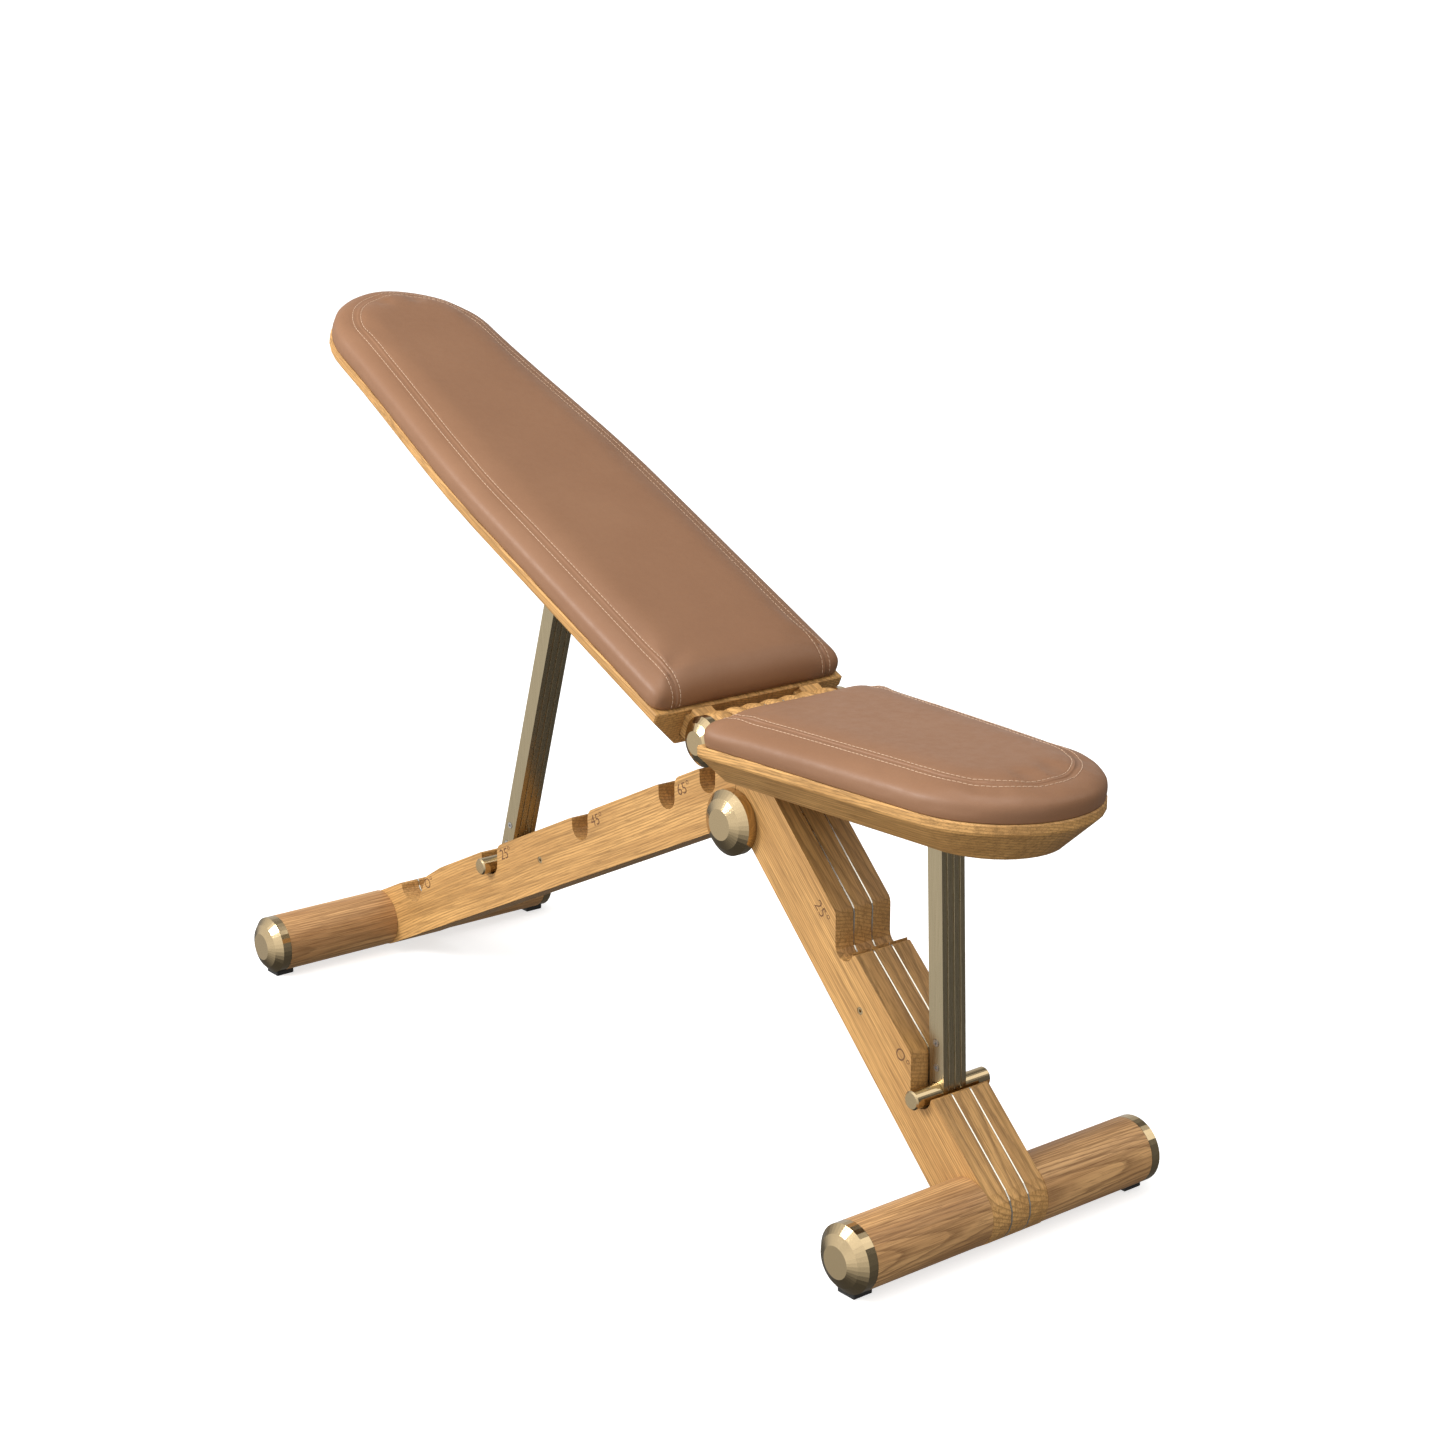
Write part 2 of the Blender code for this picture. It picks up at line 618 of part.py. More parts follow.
def strut(name, top, pin):
    """A grooved bar from its hinge pin down to the cross pin, which it sits on with a saddle."""
    run = Vector((pin[0] - top[0], 0, pin[1] - top[1]))
    face = STRUT_HALF[1]
    piece = strut_bar(name, top, run)
    end = cylinder(name + "_end", STRUT_HALF[0] - 0.0002, top, STRUT_CHAMFER - face,
                   face - STRUT_CHAMFER, None, cutters)
    boolean(piece, end, "UNION")
    boolean(piece, bore(name + "_hinge_bore", HINGE_PIN_RADIUS + BORE_CLEARANCE, top))
    boolean(piece, bore(name + "_saddle", STRUT_PIN_RADIUS + GAP, pin, segments=ROUND_SEGMENTS))
    cross = cylinder(name + "_cross_pin", STRUT_PIN_RADIUS, pin, -STRUT_PIN_HALF, STRUT_PIN_HALF,
                     CHAMPAGNE)
    round_edges(cross, 0.0016)
    made = [smooth(piece), smooth(cross)]
    for count, height in enumerate(STRUT_SCREWS, 1):
        spot = Vector((pin[0], 0, pin[1])) - run.normalized() * height
        centre = (spot.x, spot.z)
        head = cylinder(f"{name}_screw_{count}", STRUT_SCREW_RADIUS, centre, -face + 0.0002,
                        -face + 0.0105, STEEL, None, BORE_SEGMENTS)
        socket = bore(f"{name}_socket_{count}", STRUT_SCREW_RADIUS / 2, centre, -face - 0.002,
                      -face + 0.0024, 6)
        boolean(head, socket)
        room = bore(f"{name}_screw_room_{count}", STRUT_SCREW_RADIUS + GAP, centre, -face - 0.003,
                    -face + 0.0110)
        boolean(piece, room)
        made.append(smooth(head))
    return made


def leg_screws(prefix, centre):
    """A long bolt that clamps a leg's layers, and its sleeve nut from the other side."""
    made = []
    for place, side in (("near", -1), ("far", 1)):
        low, high = sorted((side * (LEG_HALF_WIDTH - 0.0004), side * 2 * GAP))
        screw = cylinder(f"{prefix}_leg_screw_{place}", LEG_SCREW_RADIUS, centre, low, high, CHAMPAGNE,
                         None, BORE_SEGMENTS)
        low, high = sorted((side * (LEG_HALF_WIDTH - 0.0030), side * (LEG_HALF_WIDTH + 0.002)))
        socket = bore(f"{prefix}_leg_socket_{place}", LEG_SCREW_RADIUS / 2, centre, low, high, 6)
        made.append(smooth(boolean(screw, socket)))
    return made


def join(name, spot, pieces, parent=None):
    """An empty on a joint's axis that carries the pieces of one moving body."""
    pivot = bpy.data.objects.new(name, None)
    parts.objects.link(pivot)
    pivot.location = (spot[0], 0, spot[1])
    bpy.context.view_layer.update()
    if parent is not None:
        pivot.parent = parent
        pivot.matrix_parent_inverse = parent.matrix_world.inverted()
    for piece in pieces:
        piece.parent = pivot
        piece.matrix_parent_inverse = pivot.matrix_world.inverted()
    bpy.context.view_layer.update()
    return pivot


clear_scene()
parts = new_collection("adjustable_weight_bench")
cutters = new_collection("cutters", hidden=True)
upper_bore = bore("upper_bore", AXLE_RADIUS + BORE_CLEARANCE, UPPER_AXLE)
lower_bore = bore("lower_bore", AXLE_RADIUS + BORE_CLEARANCE, LOWER_PIVOT)
lobe_pocket = bore("lobe_pocket", LOBE_POCKET, LOWER_PIVOT, segments=LOBE_SEGMENTS)


def build_legs():
    front_pieces, front_bore = foot("front", FRONT_FOOT, FRONT_BAR_END)
    rear_pieces, rear_bore = foot("rear", REAR_FOOT, REAR_BAR_END)
    front_hole = bore("front_screw_hole", LEG_SCREW_RADIUS + GAP, FRONT_SCREW)
    rear_hole = bore("rear_screw_hole", LEG_SCREW_RADIUS + GAP, REAR_SCREW)
    front_pieces += leg_layers("front_leg", front_leg_outline(), ("mid", "plate_near", "plate_far"),
                               ("near", "mid", "far"), (front_bore, upper_bore), front_hole)
    rear_pieces += leg_layers("rear_leg", rear_leg_outline(), ("near", "far"), (), (rear_bore,), rear_hole)
    front_pieces += leg_screws("front", FRONT_SCREW)
    rear_pieces += leg_screws("rear", REAR_SCREW)
    return front_pieces, rear_pieces


def build_pivots():
    made = []
    for name, centre, radius, height, base in (
            ("fold_knob", LOWER_PIVOT, KNOB_RADIUS, KNOB_HEIGHT, LEG_HALF_WIDTH + 2 * GAP),
            ("axle_cap", UPPER_AXLE, AXLE_CAP_RADIUS, AXLE_CAP_HEIGHT, BACK_ARM[1] + 2 * GAP)):
        for place, side in (("near", -1), ("far", 1)):
            made.append(cap(f"{name}_{place}", radius, height, centre, side * base, side,
                            AXLE_RADIUS + BORE_CLEARANCE))
        reach = base + CAP_BORE_DEPTH - 0.001
        rod = "fold_axle" if name == "fold_knob" else "upper_axle"
        made.append(smooth(cylinder(rod, AXLE_RADIUS, centre, -reach, reach, STEEL)))
    return made


def build_pad_group(prefix, shape, place, span, neck, starts, pivot, groove):
    """Arms, board, pad, strut bracket and hinge pin of the seat or the backrest."""
    s, n = pivot
    plank = board(f"{prefix}_board", shape, place)
    made = [plank]
    near = 1 if place is BACK_PLACE else -1
    for side_name, side in (("near", near), ("far", -near)):
        low, high = sorted((side * span[0], side * span[1]))
        made.append(arm(f"{prefix}_arm_{side_name}", place, (low, high), neck))
        boolean(plank, mortise(f"{prefix}_mortise_{side_name}", place, (low, high)))
    boolean(plank, wedge(f"{prefix}_groove", place, groove, STRUT_HALF[1] + GROOVE_SIDE))
    room = local_box(f"{prefix}_bracket_room", place, (s - 0.009 - GAP, -EAR[1] - GAP, BOARD_BOTTOM - 0.01),
                     (s + 0.024 + GAP, EAR[1] + GAP, BOARD_TOP + 0.01), None, cutters)
    boolean(plank, room)
    made.append(pad(f"{prefix}_pad", shape, place, starts))
    hinge = place @ Vector((s, 0, n))
    centre = (hinge.x, hinge.z)
    holder = bracket(f"{prefix}_strut_bracket", place, s, n)
    made.append(boolean(holder, bore(f"{prefix}_pin_bore", HINGE_PIN_RADIUS + BORE_CLEARANCE, centre)))
    made.append(smooth(cylinder(f"{prefix}_strut_hinge_pin", HINGE_PIN_RADIUS, centre,
                                -EAR[1] + GAP, EAR[1] - GAP, STEEL, None, BORE_SEGMENTS)))
    return made, centre


def build_seat():
    """The strut leans towards the axle as the seat rises, so its groove opens that way."""
    low, high = BOARD_BOTTOM - 0.02, BOARD_TOP + 0.0115
    outer, inner = SEAT_STRUT_S + 0.0135, SEAT_STRUT_S - 0.0125
    mouth = SEAT_STRUT_S - 0.0445
    groove = [(outer, low), (outer, high), (inner, high), (inner, -0.001),
              (mouth, BOARD_BOTTOM - 0.001), (mouth, low)]
    neck = [(HEAD_RADIUS - 0.0004, ARM_TOP)]
    return build_pad_group("seat", SEAT_BOARD, SEAT_PLACE, SEAT_ARM, neck, SEAT_PAD_STARTS,
                           (SEAT_STRUT_S, SEAT_STRUT_N), groove)


def build_backrest():
    """The strut folds up along the board as the backrest rises, so its groove is long and tapers."""
    low, high = BOARD_BOTTOM - 0.02, BOARD_TOP + 0.0115
    outer, inner = BACK_STRUT_S + 0.0135, BACK_STRUT_S - 0.040
    groove = [(outer, low), (outer, high), (inner, high), (inner, 0.0024),
              (BACK_STRUT_S - 0.318, BOARD_BOTTOM), (BACK_STRUT_S - 0.330, low)]
    shoulder = BACK_BOARD["start"] - 0.004
    neck = [(shoulder, ARM_TOP), (shoulder, 0.0130)]
    return build_pad_group("backrest", BACK_BOARD, BACK_PLACE, BACK_ARM, neck, BACK_PAD_STARTS,
                           (BACK_STRUT_S, BACK_STRUT_N), groove)


def build():
    front_pieces, rear_pieces = build_legs()
    front_pieces += build_pivots()
    seat_pieces, seat_hinge = build_seat()
    back_pieces, back_hinge = build_backrest()
    seat_strut = strut("seat_strut", seat_hinge, SEAT_PIN)
    back_strut = strut("backrest_strut", back_hinge, BACK_PIN)
    root = join("front_frame_origin", (0.0, 0.0), front_pieces)
    join("leg_fold_axis", LOWER_PIVOT, rear_pieces, root)
    seat = join("seat_hinge_axis", UPPER_AXLE, seat_pieces, root)
    back = join("backrest_hinge_axis", UPPER_AXLE, back_pieces, root)
    join("seat_strut_axis", seat_hinge, seat_strut, seat)
    join("backrest_strut_axis", back_hinge, back_strut, back)


build()
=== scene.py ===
"""The looks of the adjustable weight bench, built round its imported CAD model.

Metres, +Z up, +X the seat end. Oak, leather, champagne metal and rubber are procedural.
The two pads are made here, padded by a short cloth simulation, and then seamed and stitched.
"""
import json
import math

import bmesh
import bpy
import numpy as np
from mathutils import Matrix, Vector
from mathutils.bvhtree import BVHTree
from mathutils.kdtree import KDTree


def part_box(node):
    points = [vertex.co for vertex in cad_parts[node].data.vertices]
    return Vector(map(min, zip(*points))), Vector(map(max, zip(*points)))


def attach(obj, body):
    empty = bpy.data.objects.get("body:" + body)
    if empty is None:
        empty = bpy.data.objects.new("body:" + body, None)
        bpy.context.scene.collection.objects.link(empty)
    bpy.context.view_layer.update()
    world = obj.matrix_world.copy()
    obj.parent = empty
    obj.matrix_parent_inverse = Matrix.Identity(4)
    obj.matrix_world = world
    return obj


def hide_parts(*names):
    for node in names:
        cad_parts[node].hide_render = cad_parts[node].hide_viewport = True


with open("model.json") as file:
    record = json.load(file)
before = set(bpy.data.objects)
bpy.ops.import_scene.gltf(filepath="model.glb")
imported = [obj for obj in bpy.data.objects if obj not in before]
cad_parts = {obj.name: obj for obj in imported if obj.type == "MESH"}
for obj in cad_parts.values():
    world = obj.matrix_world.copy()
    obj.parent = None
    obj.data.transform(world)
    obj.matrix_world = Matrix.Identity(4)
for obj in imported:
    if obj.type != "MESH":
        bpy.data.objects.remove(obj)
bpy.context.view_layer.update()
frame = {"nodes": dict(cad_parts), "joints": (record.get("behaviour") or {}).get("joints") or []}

# Places taken from the frame
JOINTS = {joint["name"]: joint for joint in frame["joints"]}
AXLE = Vector(JOINTS["backrest_hinge"]["pos_m"])
FRONT_FOOT = sum(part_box("front_foot_bar_near"), Vector()) / 2
FOOT_BAR_RADIUS = 0.035
FOOT_BASE = FRONT_FOOT.z - FOOT_BAR_RADIUS

# How far the backrest rises towards -X, and the legs' slopes towards +X
BACK_ANGLE = math.radians(25)
FRONT_LEG_SLOPE = math.radians(-45)
REAR_LEG_SLOPE = math.radians(25.7)

# The camera stands this far from the middle of the front foot bar's underside
CAMERA_FROM_FOOT = Vector((1.7059, -1.7146, 1.2038))
CAMERA_TURN = (math.pi / 2 - 0.2747, 0.0, 0.8951)
CAMERA_LENS = 66.22
CAMERA_SENSOR = 36.0

# Colours, each (red, green, blue)
OAK_LIGHT, OAK_DARK = (0.630, 0.355, 0.124), (0.430, 0.225, 0.072)
FOOT_OAK_LIGHT, FOOT_OAK_DARK = (0.62, 0.36, 0.155), (0.37, 0.185, 0.070)
LEATHER_TONES = (0.214, 0.102, 0.048), (0.226, 0.109, 0.052), (0.238, 0.117, 0.057)
# The darker of the two leather colours on the next line is painted shade for the grain's creases
LEATHER_MOTTLE, LEATHER_CREASE_SHADE = (0.190, 0.088, 0.042), (0.134, 0.062, 0.030)
CHAMPAGNE, STRUT_METAL = (0.50, 0.385, 0.225), (0.44, 0.365, 0.235)
PLATE_METAL, STEEL = (0.80, 0.76, 0.66), (0.52, 0.51, 0.50)
RUBBER_TONES = (0.010, 0.010, 0.010), (0.022, 0.021, 0.020)
THREAD_TONES = (0.44, 0.29, 0.19), (0.66, 0.47, 0.34)
BURNT_TONES = (0.085, 0.035, 0.012), (0.16, 0.070, 0.026)

# Each oak piece and each pad is cut from its own place: the step from one to the next
GRAIN_STEP = (0.37, 0.61, 0.23)
LEATHER_START, LEATHER_STEP = (0.0, 0.0, 0.3), (1.7, 0.9, 0.0)

# The pads' meshes
MESH_STEP = 0.005
PATH_STEP = 0.004
PANEL_COLUMNS = 22
CORNER_TURNS = 26
CORNER_BULGE = 3.4
WELD = 0.00002
# Where the edge's section is cut: 0 on the seam, 1 at the wall, 2 at the base
SECTION = (0.0, 0.04, 0.08, 0.12, 0.17, 0.23, 0.30, 0.38, 0.47, 0.56, 0.66, 0.77, 0.88, 1.0,
           1.2, 1.4, 1.6, 1.8, 1.93, 2.0)
# How far inside the seam the middle panel's close rings lie
SEAM_RINGS = (0.0005, 0.0010, 0.0016, 0.0024, 0.0034, 0.0042, 0.0052, 0.0064, 0.0080, 0.0100)

# The cloth simulation that pads them
VOXEL = 0.006
PINNED_ABOVE_BASE = 0.006
SWELL_FRAMES = 20
SWELL_CAP = 0.0016
SWELL_NEIGHBOURS = 6
SWELL_BLUR = 0.002
CLOTH = {"quality": 5, "mass": 0.4, "tension_stiffness": 40, "compression_stiffness": 40,
         "bending_stiffness": 2.0, "use_pressure": True, "uniform_pressure_force": 4.0,
         "vertex_group_mass": "pins"}

# The seams: (depth, distance from the seam, width) of the groove, the stitches' dents and the lips
STITCH_OFF = 0.0052
SEAM_REACH = 0.011
SEWN_ABOVE_BASE = 0.0005
SEAM_GROOVE = (0.0013, 0.0, 0.0011)
STITCH_DENT = (0.00035, STITCH_OFF, 0.0008)
SEAM_LIP = (-0.00035, 0.0018, 0.0010)

# The stitches. One shorter than STITCH_SHORTEST of the spacing is left out, and the rows start
# at STITCH_FIRST of the axle end's section.
STITCH_SPACING, STITCH_GAP, STITCH_RADIUS = 0.0056, 0.0018, 0.00034
STITCH_PARTS = 4
STITCH_SIDES = 6
STITCH_RINGS = (0.0, 0.10, 0.3, 0.5, 0.7, 0.90, 1.0)
STITCH_SHORTEST = 0.6
STITCH_LIFT, STITCH_DIP, STITCH_THIN_END = 0.75, 1.5, 0.35
STITCH_FIRST, STITCH_STEP, STITCH_STEPS = 1.75, 0.03, 58

# Angle numbers: name, words, (x, z) from the front foot's underside, slope and body.
# The letter O stands for the nought, because the font's own nought has a dot in it.
NUMBERS = (("front_25", "25°", (-0.2245, 0.283), FRONT_LEG_SLOPE, "front_frame"),
           ("front_0", "O°", (-0.1006, 0.1636), FRONT_LEG_SLOPE, "front_frame"),
           ("rear_0", "O°", (-0.972, 0.111), REAR_LEG_SLOPE, "rear_leg"),
           ("rear_25", "25°", (-0.799, 0.195), REAR_LEG_SLOPE, "rear_leg"),
           ("rear_45", "45°", (-0.613, 0.284), REAR_LEG_SLOPE, "rear_leg"),
           ("rear_65", "65°", (-0.453, 0.3595), REAR_LEG_SLOPE, "rear_leg"))
NUMBER_SIZE = 0.0180
NUMBER_THICK = 0.00012
NUMBER_PROUD = 0.00002

# The surround: its least light, (low, high, level at the low end) of its fall below the horizon,
# and each light as (direction, (edge, middle) of its spread as cosines, level)
WORLD_COLOR = (1.0, 0.985, 0.96, 1.0)
WORLD_BASE = 0.20
WORLD_FALL = (-0.90, 0.0, 0.55)
WORLD_LIGHTS = (((-0.45, -0.85, 0.25), (0.30, 0.95), 1.00),
                ((0.10, -0.20, 1.0), (0.55, 0.98), 0.95),
                ((0.80, -0.60, 0.10), (0.30, 0.98), 0.75),
                ((0.386, 0.65, 0.64), (0.92, 0.99), 1.60),
                ((-0.80, 0.55, 0.25), (0.75, 0.98), 0.55))

# Lamps: name, size, watts, place and the point that each is aimed at
LAMPS = (("key", 0.9, 58, (-0.9, -2.3, 1.6), (0.0, 0.0, 0.35)),
         ("top", 1.2, 17, (0.5, -0.3, 2.6), (0.0, 0.0, 0.3)))

FLOOR_SIZE = 800.0
FLOOR_DROP = 0.0002
FLOOR_GREY = 0.62
FLOOR_GLOW = 0.66


# Materials


class Tree:
    """A short way to write a node tree."""

    def __init__(self, tree):
        self.tree = tree

    def add(self, kind, **settings):
        """A new node, with its sockets' values and its own settings."""
        node = self.tree.nodes.new(kind)
        for key, value in settings.items():
            if key in node.inputs:
                node.inputs[key].default_value = value
            else:
                setattr(node, key, value)
        return node

    def link(self, source, target):
        self.tree.links.new(source, target)

    def remap(self, value, low, high, to_low, to_high, kind="LINEAR"):
        node = self.add("ShaderNodeMapRange", interpolation_type=kind)
        node.inputs["From Min"].default_value = low
        node.inputs["From Max"].default_value = high
        node.inputs["To Min"].default_value = to_low
        node.inputs["To Max"].default_value = to_high
        self.link(value, node.inputs["Value"])
        return node.outputs["Result"]

    def math(self, operation, first, second):
        node = self.add("ShaderNodeMath", operation=operation)
        for socket, value in zip(node.inputs, (first, second)):
            if isinstance(value, (int, float)):
                socket.default_value = value
            else:
                self.link(value, socket)
        return node.outputs["Value"]


class Look(Tree):
    """A material, whose Principled shader the tree feeds."""

    def __init__(self, name):
        self.material = bpy.data.materials.new(name)
        self.material.use_nodes = True
        super().__init__(self.material.node_tree)
        self.shader = self.tree.nodes["Principled BSDF"]

    def place(self, rotation=(0, 0, 0), scale=(1, 1, 1), shift=(0, 0, 0)):
        """The object's own coordinates, turned, moved and scaled."""
        coordinates = self.add("ShaderNodeTexCoord")
        turned = self.add("ShaderNodeMapping", Rotation=rotation, Location=shift)
        scaled = self.add("ShaderNodeMapping", Scale=scale)
        self.link(coordinates.outputs["Object"], turned.inputs["Vector"])
        self.link(turned.outputs["Vector"], scaled.inputs["Vector"])
        return scaled.outputs["Vector"]

    def noise_node(self, vector, scale, detail, roughness=0.5, distortion=0.0):
        node = self.add("ShaderNodeTexNoise", Scale=scale, Detail=detail, Roughness=roughness,
                        Distortion=distortion)
        self.link(vector, node.inputs["Vector"])
        return node

    def noise(self, *shape, **settings):
        return self.noise_node(*shape, **settings).outputs["Fac"]

    def ramp(self, value, stops):
        node = self.add("ShaderNodeValToRGB")
        elements = node.color_ramp.elements
        while len(elements) < len(stops):
            elements.new(0.5)
        for element, (position, color) in zip(elements, stops):
            element.position = position
            element.color = (*color, 1.0)
        self.link(value, node.inputs["Fac"])
        return node.outputs["Color"]

    def mix(self, factor, first, second):
        """Two colours mixed. A Mix node repeats its sockets' names, so they go by number."""
        node = self.add("ShaderNodeMix", data_type="RGBA")
        for index, value in ((0, factor), (6, first), (7, second)):
            socket = node.inputs[index]
            if isinstance(value, tuple):
                socket.default_value = (*value, 1.0)
            else:
                self.link(value, socket)
        return node.outputs[2]

    def bump(self, height, strength, distance):
        node = self.add("ShaderNodeBump", Strength=strength, Distance=distance)
        self.link(height, node.inputs["Height"])
        self.feed("Normal", node.outputs["Normal"])

    def feed(self, name, value):
        self.link(value, self.shader.inputs[name])

    def fixed(self, **values):
        for name, value in values.items():
            self.shader.inputs[name.replace("_", " ")].default_value = value


def tone(color, factor):
    return tuple(v * factor for v in color)


def grey(level):
    return (level, level, level)


def oak(name, turn, shift, light, dark):
    """Oiled oak, grained along the turned X axis: growth rings, cloudy figure, fibres and pores."""
    wood = Look(name)
    figure = wood.noise(wood.place(turn, (1.6, 14, 14), shift),
                        scale=2.6, detail=3.0, distortion=0.6)
    wander = wood.noise_node(wood.place(turn, (2.2, 5.0, 5.0), shift), scale=1.0, detail=2.0)

    # The rings lie round a heart beside the piece, tilted a little and wandering
    heart = (shift[0] % 0.1, 0.055 + shift[1] % 0.05, 0.035 + shift[2] % 0.06)
    tilted = (turn[0], turn[1] + 0.035, turn[2] + 0.02)
    wavy = wood.add("ShaderNodeVectorMath", operation="MULTIPLY_ADD")
    wood.link(wander.outputs["Color"], wavy.inputs[0])
    wavy.inputs[1].default_value = (0.0, 0.030, 0.030)
    wood.link(wood.place(tilted, (1, 1, 1), heart), wavy.inputs[2])
    rings = wood.add("ShaderNodeTexWave", wave_type="RINGS", rings_direction="X",
                     wave_profile="SAW", Scale=104.0, Distortion=0.6, Detail=2.0)
    wood.link(wavy.outputs["Vector"], rings.inputs["Vector"])
    late = wood.ramp(rings.outputs["Fac"], [(0.0, grey(0.0)), (0.55, grey(0.12)),
                                            (0.92, grey(0.95)), (1.0, grey(0.25))])

    streaks = wood.noise(wood.place(turn, (5.0, 190, 190), shift),
                         scale=1.6, detail=4.0, roughness=0.62)
    fibres = wood.noise(wood.place(turn, (14.0, 800, 800), shift),
                        scale=1.4, detail=3.0, roughness=0.65)
    pores = wood.noise(wood.place(turn, (34.0, 900, 900), shift), scale=1.2, detail=1.0)
    ring_tone, fibre_tone, pore_tone = tone(dark, 0.58), tone(light, 1.12), tone(dark, 0.42)
    base = wood.mix(wood.remap(figure, 0.36, 0.64, 0.0, 1.0), dark, light)
    ringed = wood.mix(late, base, ring_tone)
    streaked = wood.mix(wood.remap(streaks, 0.46, 0.62, 0.0, 0.80), ringed, ring_tone)
    fibred = wood.mix(wood.remap(fibres, 0.40, 0.66, 0.0, 0.36), streaked, fibre_tone)
    pored = wood.mix(wood.remap(pores, 0.60, 0.70, 0.0, 0.50), fibred, pore_tone)
    wood.feed("Base Color", pored)
    wood.feed("Roughness", wood.remap(streaks, 0.3, 0.7, 0.42, 0.58))
    height = wood.math("SUBTRACT", wood.math("MULTIPLY", fibres, 0.5),
                       wood.remap(pores, 0.60, 0.70, 0.0, 1.0))
    wood.bump(height, strength=0.30, distance=0.00020)
    wood.fixed(Specular_IOR_Level=0.35)
    return wood.material


def leather(name, seed):
    """Smooth tan leather: soft clouding, fine pebbled grain and hair-thin creases, with painted
    shade in the creases.
    """
    skin = Look(name)
    wide = skin.noise(skin.place(shift=seed), scale=7.0, detail=3.0, roughness=0.55)
    close = skin.noise(skin.place(shift=seed), scale=90.0, detail=3.0, roughness=0.6)

    # The pebbles are cells, warped so that none has straight sides
    ripple = skin.noise_node(skin.place(shift=seed), scale=260.0, detail=2.0)
    small = skin.add("ShaderNodeVectorMath", operation="SCALE")
    small.inputs["Scale"].default_value = 0.0022
    skin.link(ripple.outputs["Color"], small.inputs[0])
    warped = skin.add("ShaderNodeVectorMath", operation="ADD")
    skin.link(skin.place(shift=seed), warped.inputs[0])
    skin.link(small.outputs["Vector"], warped.inputs[1])
    cells = skin.add("ShaderNodeTexVoronoi", feature="DISTANCE_TO_EDGE", Scale=720.0,
                     Randomness=1.0)
    skin.link(warped.outputs["Vector"], cells.inputs["Vector"])
    pebble = skin.remap(cells.outputs["Distance"], 0.0, 0.22, 0.0, 1.0)

    base = skin.ramp(wide, list(zip((0.32, 0.52, 0.70), LEATHER_TONES)))
    mottled = skin.mix(skin.remap(close, 0.35, 0.70, 0.0, 0.12), base, LEATHER_MOTTLE)
    # Painted shade: the creases between the pebbles are darkened in colour
    crease_shaded = skin.mix(skin.remap(pebble, 0.0, 1.0, 0.14, 0.0), mottled, LEATHER_CREASE_SHADE)
    skin.feed("Base Color", crease_shaded)
    skin.feed("Roughness", skin.remap(close, 0.3, 0.7, 0.44, 0.54))
    height = skin.math("ADD", pebble, skin.math("MULTIPLY", close, 0.8))
    skin.bump(height, strength=0.22, distance=0.00016)
    skin.fixed(Specular_IOR_Level=0.42)
    return skin.material


def brushed(name, color, roughness, scale=(1, 1, 1), depth=0.10, shade=0.10):
    """Metal with fine brush marks, drawn out along the axes whose scale is small."""
    metal = Look(name)
    marks = metal.noise(metal.place(scale=scale), scale=900.0, detail=2.0, roughness=0.6)
    clouds = metal.noise(metal.place(), scale=14.0, detail=3.0)
    darker = tone(color, 1.0 - shade)
    base = metal.mix(metal.remap(marks, 0.35, 0.65, 0.0, 1.0), darker, color)
    metal.feed("Base Color", metal.mix(metal.remap(clouds, 0.35, 0.70, 0.0, 0.25), base, darker))
    metal.feed("Roughness", metal.remap(marks, 0.3, 0.7, roughness - 0.04, roughness + 0.06))
    metal.bump(marks, strength=depth, distance=0.00006)
    metal.fixed(Metallic=1.0)
    return metal.material


def mottled(name, scale, tones, roughness):
    """A dull surface between two tones, and the noise that mixes them."""
    look = Look(name)
    grain = look.noise(look.place(), scale=scale, detail=3.0, roughness=0.6)
    look.feed("Base Color", look.ramp(grain, list(zip((0.3, 0.7), tones))))
    look.feed("Roughness", look.remap(grain, 0.3, 0.7, *roughness))
    return look, grain


def rubber(name):
    """The feet's black rubber."""
    black, grain = mottled(name, 500.0, RUBBER_TONES, (0.62, 0.80))
    black.bump(grain, strength=0.3, distance=0.00015)
    return black.material


def burnt(name):
    """The scorched brown of the engraved angle numbers."""
    return mottled(name, 300.0, BURNT_TONES, (0.65, 0.80))[0].material


def thread(name):
    """Pale sewing thread, with the fine slant of its twist."""
    yarn = Look(name)
    twist = yarn.add("ShaderNodeTexWave", wave_type="BANDS", bands_direction="DIAGONAL",
                     Scale=620.0, Distortion=1.0)
    yarn.link(yarn.place(), twist.inputs["Vector"])
    yarn.feed("Base Color", yarn.ramp(twist.outputs["Fac"], list(zip((0.0, 1.0), THREAD_TONES))))
    yarn.feed("Roughness", yarn.remap(twist.outputs["Fac"], 0.0, 1.0, 0.55, 0.70))
    yarn.bump(twist.outputs["Fac"], strength=0.4, distance=0.0001)
    return yarn.material


def paint(item, material):
    item.data.materials.clear()
    item.data.materials.append(material)


